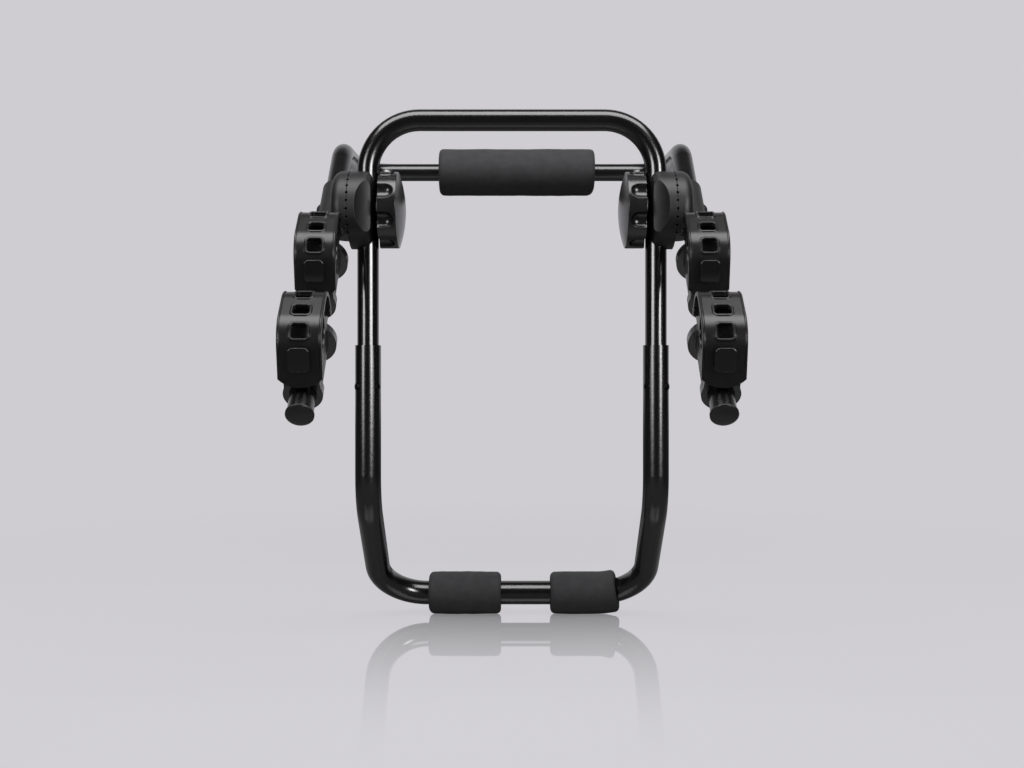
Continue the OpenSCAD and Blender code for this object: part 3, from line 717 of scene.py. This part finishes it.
# Little of the glow reaches the rack: the gloss and the scattered light see a tenth of it
seen = add(tree, "ShaderNodeLightPath")
unglossed = add(tree, "ShaderNodeMath", {
    0: seen.outputs["Is Glossy Ray"], 1: -glow_held_back, 2: 1.0}, operation="MULTIPLY_ADD")
lit = add(tree, "ShaderNodeMath", {
    0: seen.outputs["Is Diffuse Ray"], 1: -glow_held_back, 2: unglossed.outputs["Value"]},
    operation="MULTIPLY_ADD")
glow_level = add(tree, "ShaderNodeMapRange", {
    "Value": fade.outputs["Result"], "To Min": glow_by_rack, "To Max": 1.0})
level = add(tree, "ShaderNodeMath", {
    0: lit.outputs["Value"], 1: glow_level.outputs["Result"]}, operation="MULTIPLY")
glow = add(tree, "ShaderNodeEmission", {"Color": backdrop, "Strength": level.outputs["Value"]})
tone = add(tree, "ShaderNodeMix", {
    "Factor": fade.outputs["Result"], "A": linear("#6a6a6b"), "B": linear("#000000")}, data_type="RGBA")
matt = add(tree, "ShaderNodeBsdfDiffuse", {"Color": tone.outputs["Result"]})
base = add(tree, "ShaderNodeAddShader", {0: glow.outputs["Emission"], 1: matt.outputs["BSDF"]})

# The polish fades out with distance, sooner towards the camera than to the sides
polish_shape = (0.35, 1.0, 0.0)
polish_reach = 0.58
polish_most = 1.41
polish_fall = 1.5
gloss = add(tree, "ShaderNodeBsdfGlossy", {"Color": (1, 1, 1, 1), "Roughness": 0.03})
edge_on = add(tree, "ShaderNodeFresnel", {"IOR": 1.75})
flattened = add(tree, "ShaderNodeVectorMath", {0: place, 1: polish_shape}, operation="MULTIPLY")
away = add(tree, "ShaderNodeVectorMath", {0: flattened.outputs["Vector"]}, operation="LENGTH")
rubbed = add(tree, "ShaderNodeMapRange", {
    "Value": away.outputs["Value"], "From Min": 0.0, "From Max": polish_reach,
    "To Min": polish_most, "To Max": 0.0})
polish = add(tree, "ShaderNodeMath", {
    0: rubbed.outputs["Result"], 1: polish_fall}, operation="POWER")
mirror = add(tree, "ShaderNodeMath", {
    0: edge_on.outputs["Fac"], 1: polish.outputs["Value"]}, operation="MULTIPLY", use_clamp=True)
mixed = add(tree, "ShaderNodeMixShader", {
    0: mirror.outputs["Value"], 1: base.outputs["Shader"], 2: gloss.outputs["BSDF"]})
add(tree, "ShaderNodeOutputMaterial", {"Surface": mixed.outputs["Shader"]})

# The glow isn't sampled as a lamp, because that makes the streaks on the tubes grainy
sheet.cycles.emission_sampling = "NONE"
floor_mesh.materials.append(sheet)


# Studio: a pale backdrop behind the rack that the camera and the gloss both see, a dim
# room in front of it, two broad lamps with narrow beams that show only in the gloss, as
# the streaks on the legs, a wide lamp overhead, and one behind for matt surfaces only.
room_end = 0.35
backdrop_start = 0.8
world = bpy.data.worlds.new("pale_studio")
bpy.context.scene.world = world
world.use_nodes = True
# It isn't sampled as a lamp either, as with the floor's glow
world.cycles.sampling_method = "NONE"
tree = world.node_tree
tree.nodes.clear()
seen = add(tree, "ShaderNodeLightPath")
shown = add(tree, "ShaderNodeMath", {
    0: seen.outputs["Is Camera Ray"], 1: seen.outputs["Is Transmission Ray"]}, operation="MAXIMUM")
way = add(tree, "ShaderNodeSeparateXYZ", {"Vector": add(tree, "ShaderNodeTexCoord").outputs["Generated"]})
behind = add(tree, "ShaderNodeMapRange", {
    "Value": way.outputs["Y"], "From Min": room_end, "From Max": backdrop_start},
    interpolation_type="SMOOTHSTEP")
room_tone = add(tree, "ShaderNodeMix", {
    "Factor": behind.outputs["Result"], "A": linear("#2c2b2d"), "B": backdrop}, data_type="RGBA")
fill = add(tree, "ShaderNodeBackground", {"Color": linear("#f4f4f6"), "Strength": 0.28})
back = add(tree, "ShaderNodeBackground", {"Color": backdrop, "Strength": 1.0})
room = add(tree, "ShaderNodeBackground", {"Color": room_tone.outputs["Result"], "Strength": 1.0})
straight = add(tree, "ShaderNodeMixShader", {
    0: shown.outputs["Value"], 1: fill.outputs["Background"], 2: back.outputs["Background"]})
mixed = add(tree, "ShaderNodeMixShader", {
    0: seen.outputs["Is Glossy Ray"], 1: straight.outputs["Shader"], 2: room.outputs["Background"]})
add(tree, "ShaderNodeOutputWorld", {"Surface": mixed.outputs["Shader"]})

# Of the lamps only the overhead one lights the floor, so that it mirrors no other
rack_only = bpy.data.collections.new("all_but_the_floor")
rack_only.objects.link(floor)
rack_only.collection_objects[0].light_linking.link_state = "EXCLUDE"


def softbox(name, where, aim, width, height, power, spread=180, matt=True, gloss=True, on_floor=False):
    lamp = bpy.data.lights.new(name, "AREA")
    lamp.shape = "RECTANGLE"
    lamp.size = width
    lamp.size_y = height
    lamp.energy = power
    lamp.spread = math.radians(spread)
    holder = bpy.data.objects.new(name, lamp)
    holder.location = where
    holder.rotation_euler = (Vector(aim) - Vector(where)).to_track_quat("-Z", "Y").to_euler()
    holder.visible_camera = False
    holder.visible_diffuse = matt
    holder.visible_glossy = gloss
    if not on_floor:
        holder.light_linking.receiver_collection = rack_only
    bpy.context.scene.collection.objects.link(holder)


for name, side, power in (("strip_left", -1, 2.0), ("strip_right", 1, 3.2)):
    softbox(name, where=(side * 0.95, -1.85, 0.85), aim=(-side * 0.38, -0.135, 0.52),
            width=1.5, height=1.4, power=power, spread=30, matt=False)
softbox("overhead", where=(0, -0.75, 1.9), aim=(0, -0.1, 0.25),
        width=2.6, height=1.1, power=42, on_floor=True)
softbox("rear", where=(0, 2.0, 1.3), aim=(0, 0, 0.35), width=2.4, height=1.2, power=26, gloss=False)

camera_distance = 1.433
camera_height = 0.268
lens = bpy.data.cameras.new("camera")
lens.lens = 39.2
lens.sensor_width = 36.0
camera = bpy.data.objects.new("camera", lens)
camera.location = (0, -camera_distance, camera_height)
camera.rotation_euler = (math.radians(90), 0, 0)
bpy.context.scene.collection.objects.link(camera)
bpy.context.scene.camera = camera
bpy.context.scene.view_settings.view_transform = "Standard"
